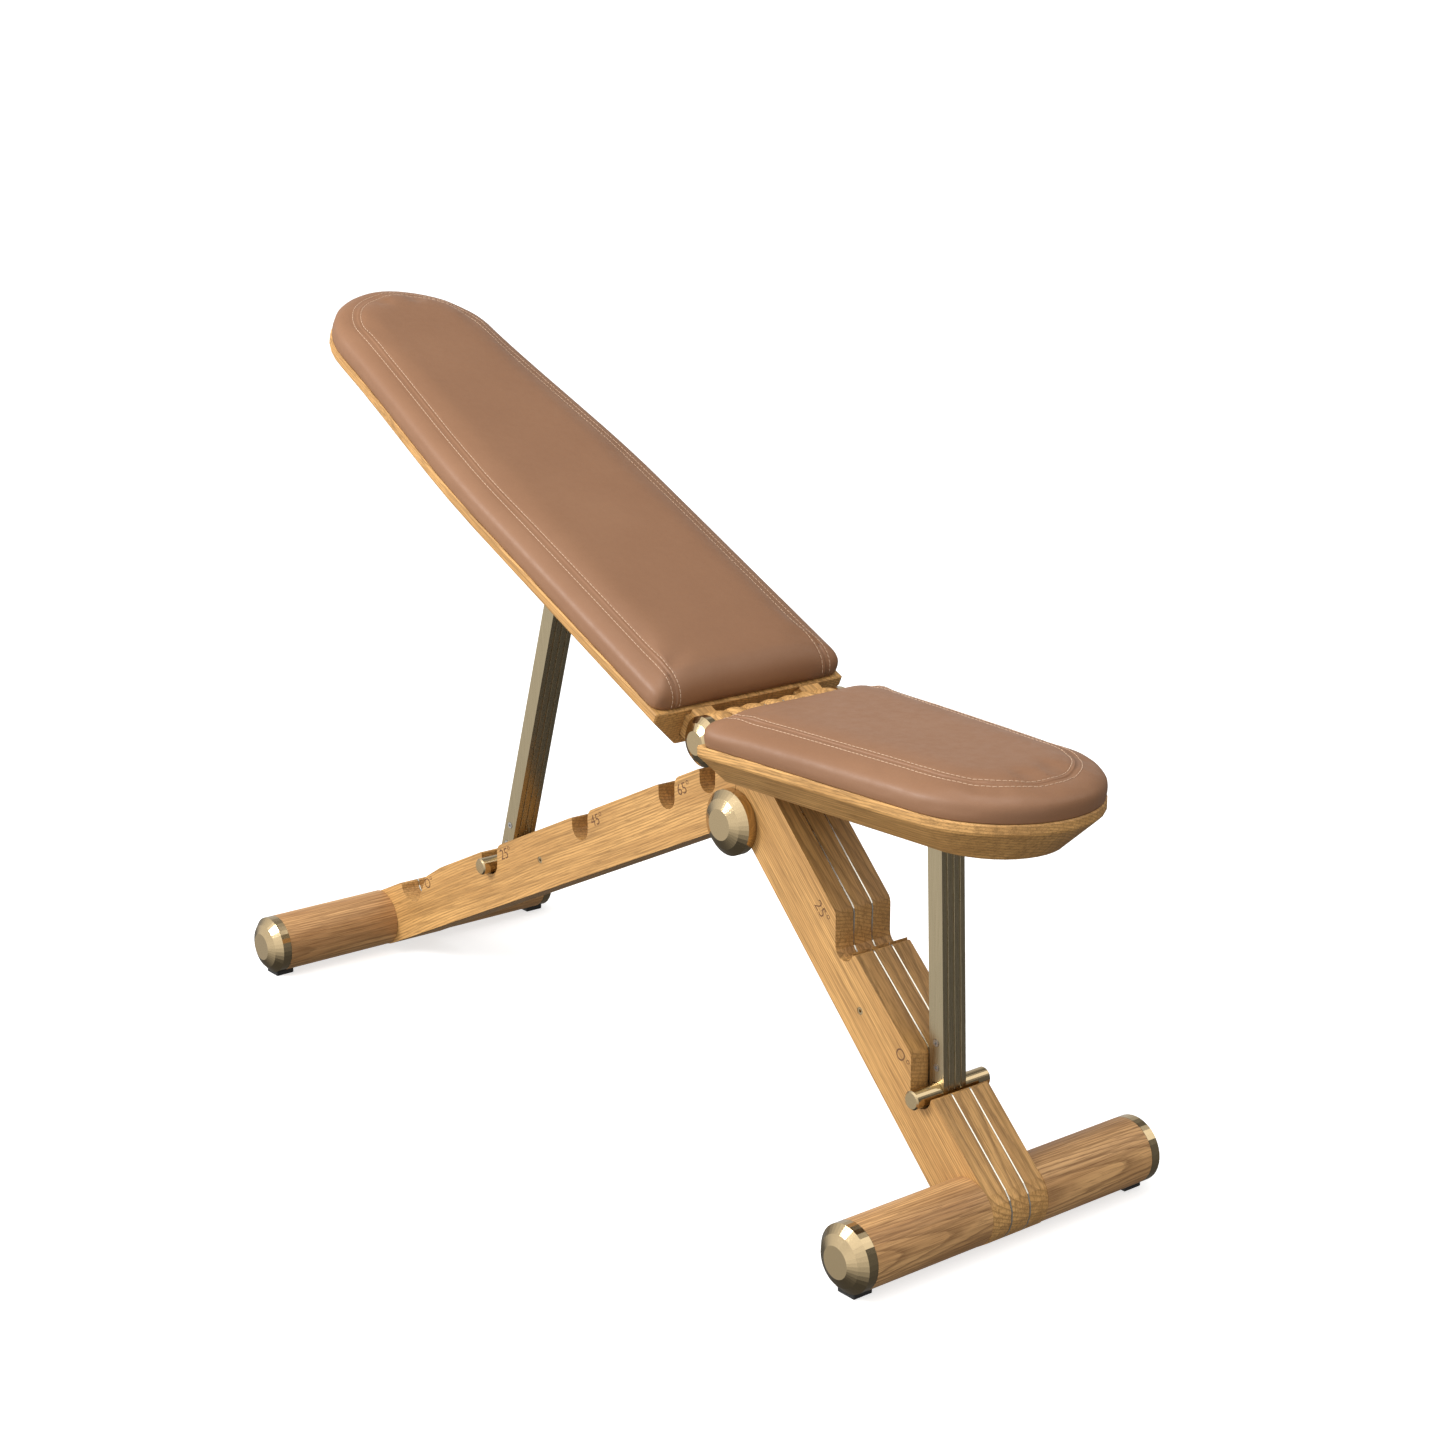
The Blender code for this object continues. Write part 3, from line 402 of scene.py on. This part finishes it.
def paint_frame():
    """Gives each CAD node its finished material, by the first word that its name holds."""
    champagne = brushed("champagne_metal_look", CHAMPAGNE, 0.15, depth=0.04, shade=0.07)
    strut = brushed("strut_metal_look", STRUT_METAL, 0.28, (1.0, 1.0, 0.02), depth=0.12)
    plate = brushed("plate_metal_look", PLATE_METAL, 0.26, (0.05, 1.0, 0.05))
    steel = brushed("steel_look", STEEL, 0.30, (1.0, 0.05, 1.0))
    black = rubber("black_rubber_look")
    looks = (("foot_pad", black), ("plate", plate), ("rod", steel), ("strut_screw", steel),
             ("hinge_pin", steel), ("upper_axle", steel), ("fold_axle", steel),
             ("cap", champagne), ("knob", champagne), ("cross_pin", champagne),
             ("bracket", champagne), ("leg_screw", champagne), ("strut", strut))
    oaks = (("foot_bar", (0, 0, math.pi / 2), (FOOT_OAK_LIGHT, FOOT_OAK_DARK)),
            ("front_leg", (0, FRONT_LEG_SLOPE, 0), (OAK_LIGHT, OAK_DARK)),
            ("rear_leg", (0, REAR_LEG_SLOPE, 0), (OAK_LIGHT, OAK_DARK)),
            ("backrest_", (0, -BACK_ANGLE, 0), (OAK_LIGHT, OAK_DARK)),
            ("seat_", (0, 0, 0), (OAK_LIGHT, OAK_DARK)))
    for index, (name, node) in enumerate(sorted(frame["nodes"].items())):
        look = next((look for word, look in looks if word in name), None)
        if look is None:
            turn, tones = next((turn, tones) for word, turn, tones in oaks if word in name)
            look = oak(name + "_look", turn, tuple(step * index for step in GRAIN_STEP), *tones)
        paint(node, look)


# Pads


def put(name, data):
    """Adds an object to the scene."""
    item = bpy.data.objects.new(name, data)
    bpy.context.scene.collection.objects.link(item)
    return item


class Pad:
    """One leather pad. Its own axes are s along the board from the axle, y across, and n up.

    It runs from start to join, where its rounded nose begins, and its axle end is rounded over
    end_round. Its half width is half up to taper_from and join_half at join. The seam lies
    seam_in from the outline. The edge's rounding ends wall_top up on the sides, and end_high up
    on the axle end.
    """

    top = 0.0386
    wall_top = 0.0215
    base = 0.0090
    base_in = 0.0016
    # The middle panel rises by crown_rise over crown_run from the seam
    crown_rise, crown_run, crown_power = 0.0048, 0.034, 2.2
    # The edge's section: a rounded part and a sloping part of its rise
    edge_power, edge_round, edge_lean = 0.82, 0.78, 0.22

    def __init__(self):
        self.end_half = self.half_width(self.start + self.end_round)
        self.place = Matrix.Translation(AXLE) @ self.lean @ self.flip

    def side_path(self, step):
        """Outline points (s, y) from the end's rounding, along +Y and to the tip of the nose."""
        first = self.start + self.end_round
        count = max(2, round((self.join - first) / step))
        points = []
        for i in range(count):
            s = first + (self.join - first) * i / count
            points.append((s, self.half_width(s)))
        quarter = round(math.pi / 2 * (self.nose + self.join_half) / 2 / step)
        for i in range(quarter + 1):
            turn = math.pi / 2 * i / quarter
            points.append((self.join + self.nose * math.sin(turn),
                           self.join_half * math.cos(turn)))
        return [Vector(p) for p in points]

    def full_path(self, step):
        """The side path and its mirror image, with the inward direction at each point."""
        half = self.side_path(step)
        path = half + [Vector((p.x, -p.y)) for p in reversed(half[:-1])]
        inward = []
        for i in range(len(path)):
            run = path[min(i + 1, len(path) - 1)] - path[max(i - 1, 0)]
            inward.append(Vector((run.y, -run.x)).normalized())
        inward[0] = Vector((0, -1))
        inward[-1] = Vector((0, 1))
        return path, inward

    def wall(self, beta, wide, high):
        """(inset, n) of the edge's section, at beta as SECTION has it."""
        if beta <= 1:
            turn = math.pi / 2 * (1 - beta)
            inset = wide * (1 - max(0.0, math.cos(turn)) ** self.edge_power)
            rise = (self.edge_round * max(0.0, math.sin(turn)) ** self.edge_power
                    + self.edge_lean * inset / wide)
            return inset, high + (self.top - high) * rise
        t = beta - 1
        return self.base_in * t * t, high + (self.base - high) * t

    def side_wall(self, beta):
        return self.wall(beta, self.seam_in, self.wall_top)

    def end_wall(self, beta):
        return self.wall(beta, self.end_round, self.end_high)

    def crown(self, s, y):
        """The fullness of the middle panel, which rises from the seam and levels out."""
        if s <= self.join:
            inside = self.half_width(s) - self.seam_in - abs(y)
        else:
            wide, long = self.join_half - self.seam_in, self.nose - self.seam_in
            inside = wide * (1 - math.hypot(y / wide, (s - self.join) / long))
        share = min(1.0, max(0.0, inside) / self.crown_run)
        return self.crown_rise * (1 - (1 - share) ** self.crown_power)


class SeatPad(Pad):
    """The seat's pad, whose sides taper in a straight line."""

    name, body, node = "seat_cushion", "seat", "seat_pad"
    lean = flip = Matrix.Identity(4)
    start, end_round, end_high = 0.0303, 0.0190, 0.0205
    half, taper_from = 0.1255, 0.0291
    join, join_half, nose = 0.322, 0.1075, 0.116
    seam_in = 0.0300

    def half_width(self, s):
        if s <= self.taper_from:
            return self.half
        t = (s - self.taper_from) / (self.join - self.taper_from)
        return self.half + (self.join_half - self.half) * t


class BackPad(Pad):
    """The backrest's pad, whose sides stay parallel and then curve in, with a slope at the nose."""

    name, body, node = "backrest_cushion", "backrest", "backrest_pad"
    lean, flip = Matrix.Rotation(BACK_ANGLE, 4, "Y"), Matrix.Rotation(math.pi, 4, "Z")
    start, end_round, end_high = 0.0452, 0.0250, 0.0150
    half, taper_from = 0.1270, 0.405
    join, join_half, nose = 0.742, 0.1065, 0.107
    slope = -0.03
    seam_in = 0.0255

    def half_width(self, s):
        if s <= self.taper_from:
            return self.half
        t = (s - self.taper_from) / (self.join - self.taper_from)
        return (self.half * (2 * t**3 - 3 * t**2 + 1) + self.join_half * (3 * t**2 - 2 * t**3)
                + self.slope * (self.join - self.taper_from) * (t**3 - t**2))


class Skin:
    """A mesh made from rows of points, which are welded where they meet."""

    def __init__(self):
        self.shape = bmesh.new()
        self.weld = {}

    def vertex(self, s, y, n):
        key = (round(s * 1e5), round(y * 1e5), round(n * 1e5))
        if key not in self.weld:
            self.weld[key] = self.shape.verts.new((s, y, n))
        return self.weld[key]

    def quads(self, rows):
        for lower, upper in zip(rows, rows[1:]):
            for a, b, c, d in zip(lower, lower[1:], upper[1:], upper):
                corners = []
                for corner in (a, b, c, d):
                    if corner not in corners:
                        corners.append(corner)
                if len(corners) > 2 and self.shape.faces.get(corners) is None:
                    self.shape.faces.new(corners)


def mesh_object(name, shape):
    """Makes a bmesh an object of the scene, with its faces turned outwards."""
    bmesh.ops.recalc_face_normals(shape, faces=shape.faces)
    data = bpy.data.meshes.new(name)
    shape.to_mesh(data)
    shape.free()
    return put(name, data)


def edge_strip(pad, skin, path, inward, seam):
    """The pad's side, from the seam down to the base."""
    strip = []
    for beta in SECTION:
        inset, n = pad.side_wall(beta)
        row = [spot + way * inset for spot, way in zip(path, inward)] if beta > 0 else seam
        strip.append([skin.vertex(spot.x, spot.y, n) for spot in row])
    skin.quads(strip)


def middle_panel(pad, skin, path, inward, seam):
    """Rings just inside the seam, then rows across. Gives the y of each column at the axle end."""
    def top(spot):
        return skin.vertex(spot.x, spot.y, pad.top + pad.crown(spot.x, spot.y))

    rings = [seam]
    for off in SEAM_RINGS:
        rings.append([spot + way * (pad.seam_in + off) for spot, way in zip(path, inward)])
        rings[-1][0].x = rings[-1][-1].x = seam[0].x
    made = [[skin.vertex(p.x, p.y, pad.top) for p in seam]]
    made += [[top(p) for p in ring] for ring in rings[1:]]
    skin.quads(made)

    inner, inner_verts = rings[-1], made[-1]
    half_count = len(inner) // 2
    rows = []
    for i in range(half_count):
        left, right = inner[i], inner[-1 - i]
        between = [top(left.lerp(right, j / PANEL_COLUMNS)) for j in range(1, PANEL_COLUMNS)]
        rows.append([inner_verts[i], *between, inner_verts[-1 - i]])
    rows.append([inner_verts[half_count]] * (PANEL_COLUMNS + 1))
    skin.quads(rows)
    return ([row[0].co.y for row in made] + [v.co.y for v in rows[0][1:-1]]
            + [row[-1].co.y for row in reversed(made)])


def axle_end(pad, skin, seam, columns):
    """The end by the axle, in columns down from the middle panel's first row."""
    end = []
    for beta in SECTION:
        inset, n = pad.end_wall(beta)
        row = []
        for y in columns:
            between_seams = abs(y) < abs(seam[0].y) - 1e-6
            lift = pad.crown(seam[0].x, y) * max(0.0, 1 - beta) if between_seams else 0.0
            row.append(skin.vertex(pad.start + inset, y, n + lift))
        end.append(row)
    skin.quads(end)


def corner(pad, skin, seam, side):
    """One corner by the axle, swept from the side's section to the end's."""
    power = 2 / CORNER_BULGE
    centre = Vector((seam[0].x, side * seam[0].y))
    fan = []
    for t in range(CORNER_TURNS + 1):
        share = t / CORNER_TURNS
        turn = math.pi / 2 * share
        ray = Vector((-math.sin(turn) ** power if t else 0.0,
                      side * max(0.0, math.cos(turn)) ** power if t < CORNER_TURNS else 0.0))
        row = []
        for beta in SECTION:
            side_in, side_n = pad.side_wall(beta)
            end_in, end_n = pad.end_wall(beta)
            reach = Vector((0, 0))
            if beta > 0:
                reach = Vector((ray.x * (pad.end_round - end_in),
                                ray.y * (pad.seam_in - side_in)))
            spot = centre + reach
            row.append(skin.vertex(spot.x, spot.y, side_n * (1 - share) + end_n * share))
        fan.append(row)
    skin.quads(fan)


def pad_mesh(pad):
    """The pad as one closed mesh: its side, middle panel, axle end, two corners and underside."""
    skin = Skin()
    path, inward = pad.full_path(MESH_STEP)
    seam = [spot + way * pad.seam_in for spot, way in zip(path, inward)]
    seam[0] = Vector((pad.start + pad.end_round, pad.end_half - pad.seam_in))
    seam[-1] = Vector((seam[0].x, -seam[0].y))
    edge_strip(pad, skin, path, inward, seam)
    columns = middle_panel(pad, skin, path, inward, seam)
    axle_end(pad, skin, seam, columns)
    for side in (1, -1):
        corner(pad, skin, seam, side)
    shape = skin.shape
    bmesh.ops.remove_doubles(shape, verts=shape.verts, dist=WELD)
    bmesh.ops.holes_fill(shape, edges=[e for e in shape.edges if e.is_boundary], sides=0)
    return mesh_object(pad.name, shape)


def swell(pad, item):
    """Simulates a coarse copy as cloth under pressure, and gives its swelling to the fine mesh."""
    copy = item.copy()
    copy.data = item.data.copy()
    bpy.context.scene.collection.objects.link(copy)
    remesh = copy.modifiers.new("remesh", "REMESH")
    remesh.mode = "VOXEL"
    remesh.voxel_size = VOXEL
    depsgraph = bpy.context.evaluated_depsgraph_get()
    copy.data = bpy.data.meshes.new_from_object(copy.evaluated_get(depsgraph))
    copy.modifiers.clear()
    before = np.array([v.co for v in copy.data.vertices])
    pins = copy.vertex_groups.new(name="pins")
    held = [v.index for v in copy.data.vertices if v.co.z < pad.base + PINNED_ABOVE_BASE]
    pins.add(held, 1.0, "REPLACE")
    cloth = copy.modifiers.new("cloth", "CLOTH")
    for key, value in CLOTH.items():
        setattr(cloth.settings, key, value)
    cloth.settings.effector_weights.gravity = 0.0
    cloth.collision_settings.use_collision = False
    cloth.point_cache.frame_start = 1
    cloth.point_cache.frame_end = SWELL_FRAMES
    for number in range(1, SWELL_FRAMES + 1):
        bpy.context.scene.frame_set(number)
    depsgraph = bpy.context.evaluated_depsgraph_get()
    after_mesh = copy.evaluated_get(depsgraph).to_mesh()
    after = np.array([v.co for v in after_mesh.vertices])
    bpy.context.scene.frame_set(1)

    # No point moves further than the cap
    moved = after - before
    length = np.linalg.norm(moved, axis=1, keepdims=True)
    moved *= SWELL_CAP * np.tanh(length / SWELL_CAP) / np.maximum(length, 1e-9)
    tree = KDTree(len(before))
    for index, spot in enumerate(before):
        tree.insert(spot, index)
    tree.balance()
    for v in item.data.vertices:
        near = tree.find_n(v.co, SWELL_NEIGHBOURS)
        weights = np.array([1 / (distance + SWELL_BLUR) for _, _, distance in near])
        shift = (moved[[index for _, index, _ in near]] * weights[:, None]).sum(0) / weights.sum()
        v.co += Vector(shift)
    bpy.data.objects.remove(copy, do_unlink=True)


def seam_distance(pad, co, tree, path):
    """Distance of a point of the pad from its seam, signed plus towards the edge."""
    if co.x < pad.start + pad.end_round:
        return abs(co.y) - (pad.end_half - pad.seam_in)
    spot = Vector((co.x, co.y))
    _, index, _ = tree.find(Vector((co.x, co.y, 0)))
    best = math.inf
    for k in (index - 1, index):
        if 0 <= k < len(path) - 1:
            run = path[k + 1] - path[k]
            t = max(0.0, min(1.0, (spot - path[k]).dot(run) / run.length_squared))
            best = min(best, (spot - path[k] - run * t).length)
    return pad.seam_in - best


def sew(pad, item):
    """Presses the seam's groove and the stitches' dents into the mesh, along its normals."""
    def press(away, dent):
        depth, middle, wide = dent
        return depth * math.exp(-(((away - middle) / wide) ** 2))

    path, _ = pad.full_path(PATH_STEP)
    tree = KDTree(len(path))
    for index, spot in enumerate(path):
        tree.insert((spot.x, spot.y, 0), index)
    tree.balance()
    normals = [v.normal.copy() for v in item.data.vertices]
    for v, normal in zip(item.data.vertices, normals):
        if v.co.z < pad.base + SEWN_ABOVE_BASE:
            continue
        away = abs(seam_distance(pad, v.co, tree, path))
        if away > SEAM_REACH:
            continue
        depth = sum(press(away, dent) for dent in (SEAM_GROOVE, STITCH_DENT, SEAM_LIP))
        v.co -= normal * depth


def stitch_line(pad, off, spacing):
    """Points (s, y, n) along one row of stitches: up the axle end, round the pad and down again."""
    path, inward = pad.full_path(PATH_STEP)
    line_y = pad.end_half - pad.seam_in + off
    rise = []
    for k in range(STITCH_STEPS):
        inset, n = pad.end_wall(STITCH_FIRST - STITCH_STEP * k)
        rise.append(Vector((pad.start + inset, line_y, n)))
    middle = [spot + way * (pad.seam_in - off) for spot, way in zip(path, inward)]
    middle = [Vector((p.x, p.y, pad.top)) for p in middle if p.x > pad.start + pad.end_round]
    fall = [Vector((p.x, -p.y, p.z)) for p in reversed(rise)]
    line = rise + middle + fall
    even = []
    left = 0.0
    for a, b in zip(line, line[1:]):
        run = (b - a).length
        while left <= run and run > 0:
            even.append(a.lerp(b, left / run))
            left += spacing
        left -= run
    return even


def stitch(shape, tree, points):
    """One small rounded thread, which dips into the leather at both ends."""
    run = points[-1] - points[0]
    if run.length < STITCH_SPACING * STITCH_SHORTEST:
        return
    run.normalize()
    rings = []
    for share in STITCH_RINGS:
        straight = points[0] + run * (STITCH_GAP / 2 + (STITCH_SPACING - STITCH_GAP) * share)
        guide = points[round(STITCH_PARTS * share)]
        hit, normal, _, _ = tree.find_nearest(straight.lerp(guide, 0.5))
        side = normal.cross(run).normalized()
        from_middle = 2 * share - 1
        middle = hit + normal * (STITCH_RADIUS * (STITCH_LIFT - STITCH_DIP * from_middle ** 6))
        full = (1 - STITCH_THIN_END) * (1 - from_middle ** 4)
        wide = STITCH_RADIUS * (STITCH_THIN_END + full)
        ring = []
        for k in range(STITCH_SIDES):
            turn = math.tau * k / STITCH_SIDES
            out = side * math.cos(turn) + normal * math.sin(turn)
            ring.append(shape.verts.new(middle + out * wide))
        rings.append(ring)
    for a, b in zip(rings, rings[1:]):
        for k in range(STITCH_SIDES):
            after = (k + 1) % STITCH_SIDES
            shape.faces.new((a[k], a[after], b[after], b[k]))
    shape.faces.new(rings[0])
    shape.faces.new(rings[-1])


def stitches(pad, item):
    """Both rows of stitches, one on each side of the seam."""
    tree = BVHTree.FromObject(item, bpy.context.evaluated_depsgraph_get())
    shape = bmesh.new()
    for off in (-STITCH_OFF, STITCH_OFF):
        line = stitch_line(pad, off, STITCH_SPACING / STITCH_PARTS)
        for start in range(0, len(line) - STITCH_PARTS, STITCH_PARTS):
            stitch(shape, tree, line[start:start + STITCH_PARTS + 1])
    return mesh_object(pad.name + "_stitches", shape)


def make_pads():
    """Makes, swells, sews and paints both pads, hangs each on its body and hides the CAD pad that
    it takes the place of.
    """
    cotton = thread("stitch_thread_look")
    for index, pad in enumerate((SeatPad(), BackPad())):
        item = pad_mesh(pad)
        swell(pad, item)
        item.data.shade_smooth()
        sew(pad, item)
        sewn = stitches(pad, item)
        sewn.data.shade_smooth()
        for piece in (item, sewn):
            piece.data.transform(pad.place)
        seed = tuple(start + step * index for start, step in zip(LEATHER_START, LEATHER_STEP))
        paint(item, leather(pad.name + "_look", seed))
        paint(sewn, cotton)
        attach(item, pad.body)
        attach(sewn, pad.body)
        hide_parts(pad.node)


# Angle numbers


def number_mark(name, words, place):
    """One number as a thin mesh, set in its place."""
    curve = bpy.data.curves.new(name, "FONT")
    curve.body = words
    curve.size = NUMBER_SIZE
    curve.align_x = "CENTER"
    curve.align_y = "CENTER"
    curve.extrude = NUMBER_THICK
    curve.offset = -NUMBER_THICK
    curve.resolution_u = 4
    item = put(name, curve)
    item.matrix_world = place
    bpy.context.view_layer.update()
    depsgraph = bpy.context.evaluated_depsgraph_get()
    mesh = bpy.data.meshes.new_from_object(item.evaluated_get(depsgraph))
    mesh.transform(item.matrix_world)
    bpy.data.objects.remove(item, do_unlink=True)
    return put(name + "_mark", mesh)


def numbers():
    """The angles beside the notches that carry one, on both faces of the legs."""
    look = burnt("angle_number_look")
    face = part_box("front_leg_far")[1].y
    upright = Matrix.Rotation(math.pi / 2, 4, "X")
    turned = Matrix.Rotation(math.pi, 4, "Z") @ upright
    for name, words, (x, z), slope, body in NUMBERS:
        for side, where, turn in ((-1, "near", upright), (1, "far", turned)):
            spot = Vector((FRONT_FOOT.x + x, side * (face + NUMBER_PROUD), FOOT_BASE + z))
            place = Matrix.Translation(spot) @ Matrix.Rotation(-slope, 4, "Y") @ turn
            made = number_mark(f"number_{name}_{where}", words, place)
            paint(made, look)
            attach(made, body)


# Stage, light and camera


def studio_world():
    """A dim surround with a broad bright side to the left of the bench and soft light overhead."""
    world = bpy.data.worlds.new("studio_world")
    bpy.context.scene.world = world
    world.use_nodes = True
    sky = Tree(world.node_tree)
    way = sky.add("ShaderNodeTexCoord").outputs["Generated"]
    total = WORLD_BASE
    for aim, (edge, middle), level in WORLD_LIGHTS:
        dot = sky.add("ShaderNodeVectorMath", operation="DOT_PRODUCT")
        sky.link(way, dot.inputs[0])
        dot.inputs[1].default_value = Vector(aim).normalized()
        lit = sky.remap(dot.outputs["Value"], edge, middle, 0.0, level, "SMOOTHSTEP")
        total = sky.math("ADD", lit, total)
    parts = sky.add("ShaderNodeSeparateXYZ")
    sky.link(way, parts.inputs["Vector"])
    low, high, least = WORLD_FALL
    fall = sky.remap(parts.outputs["Z"], low, high, least, 1.0, "SMOOTHSTEP")
    back = sky.tree.nodes["Background"]
    sky.link(sky.math("MULTIPLY", total, fall), back.inputs["Strength"])
    back.inputs["Color"].default_value = WORLD_COLOR


def stage():
    """A glowing white floor that lights nothing, and the lamps."""
    bpy.ops.mesh.primitive_plane_add(size=FLOOR_SIZE, location=(0, 0, -FLOOR_DROP))
    floor = bpy.context.object
    floor.name = "studio_floor"
    white = Look("studio_floor_look")
    white.fixed(Roughness=0.9, Specular_IOR_Level=0.0, Emission_Strength=FLOOR_GLOW,
                Base_Color=(*grey(FLOOR_GREY), 1.0), Emission_Color=(1.0, 1.0, 1.0, 1.0))
    paint(floor, white.material)
    floor.visible_diffuse = False
    floor.visible_glossy = False
    for name, size, power, spot, aim in LAMPS:
        lamp = bpy.data.lights.new(name, "AREA")
        lamp.size = size
        lamp.energy = power
        item = put(name, lamp)
        item.location = spot
        way = Vector(aim) - Vector(spot)
        item.rotation_euler = way.to_track_quat("-Z", "Y").to_euler()


def camera():
    """The photograph's view."""
    lens = bpy.data.cameras.new("camera")
    lens.lens = CAMERA_LENS
    lens.sensor_width = CAMERA_SENSOR
    item = put("camera", lens)
    item.location = Vector((FRONT_FOOT.x, 0.0, FOOT_BASE)) + CAMERA_FROM_FOOT
    item.rotation_euler = CAMERA_TURN
    bpy.context.scene.camera = item


bpy.context.scene.view_settings.view_transform = "Standard"
camera()
studio_world()
stage()
paint_frame()
make_pads()
numbers()
